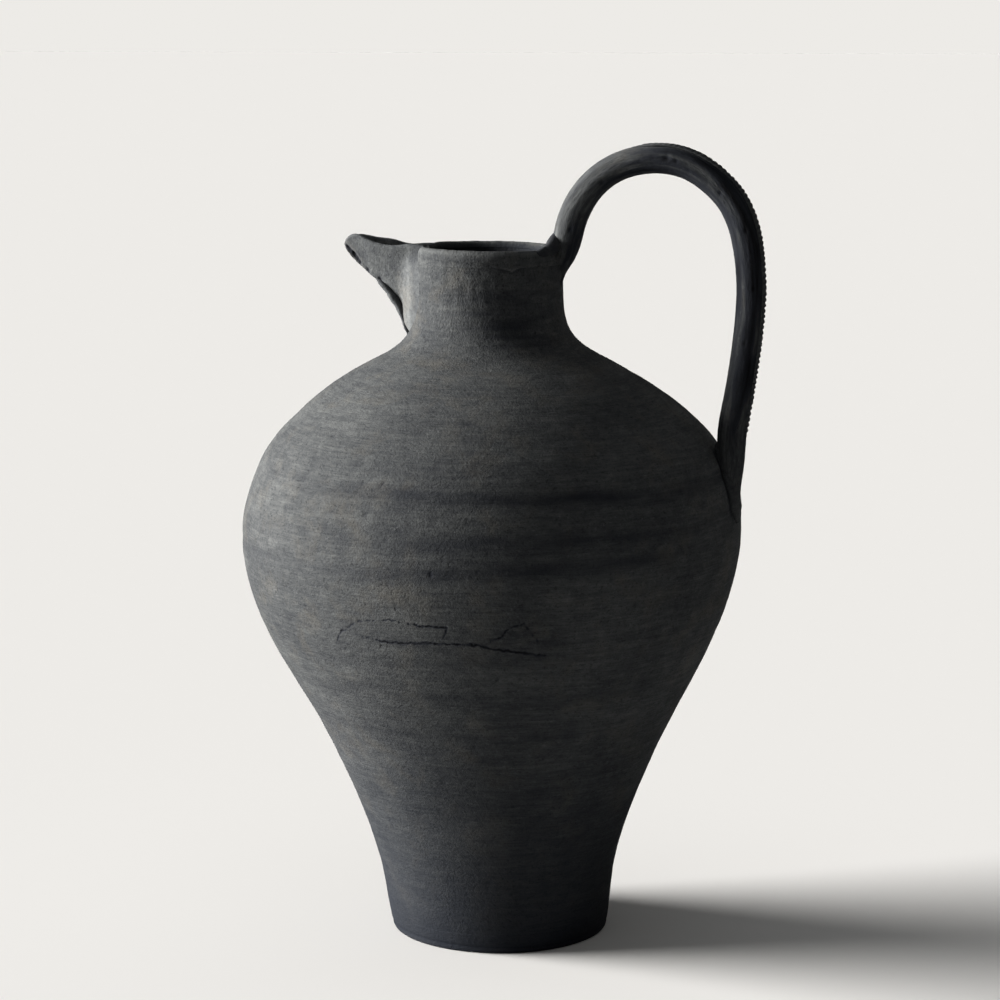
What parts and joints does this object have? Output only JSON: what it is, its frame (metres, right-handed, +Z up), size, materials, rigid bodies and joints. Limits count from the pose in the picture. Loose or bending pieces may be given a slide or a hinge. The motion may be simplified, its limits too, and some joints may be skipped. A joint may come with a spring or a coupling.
{
  "type": "clay pitcher",
  "caption": "Tall black clay pitcher with a narrow foot, round belly, short neck, folded pouring spout and a high looped handle.",
  "frame": {"origin": "centre of the foot, on the surface that the pitcher stands on", "axes": "+Z up through the neck, +X towards the handle, -X towards the spout"},
  "size_m": [0.2626, 0.2522, 0.4],
  "materials": {
    "pot_clay": "matte smoke-blackened, unglazed",
    "neck_clay": "matte smoke-blackened, unglazed",
    "spout_clay": "matte smoke-blackened, unglazed",
    "handle_clay": "matte smoke-blackened, unglazed",
    "luting_clay": "matte smoke-blackened, unglazed"
  },
  "bodies": {
    "root": {"base_disc": "pot_clay", "lower_wall": "pot_clay", "waist_wall": "pot_clay", "flank_wall": "pot_clay", "belly_wall": "pot_clay", "upper_belly_wall": "pot_clay", "shoulder_wall": "pot_clay", "neck_collar": "neck_clay", "rim_coil": "neck_clay", "spout": "spout_clay", "spout_keel_strip": "spout_clay", "handle_rod": "handle_clay", "handle_notched_strip": "handle_clay", "handle_heel_pad": "luting_clay", "handle_neck_pad": "luting_clay", "handle_rim_wad": "luting_clay"}
  },
  "joints": []
}
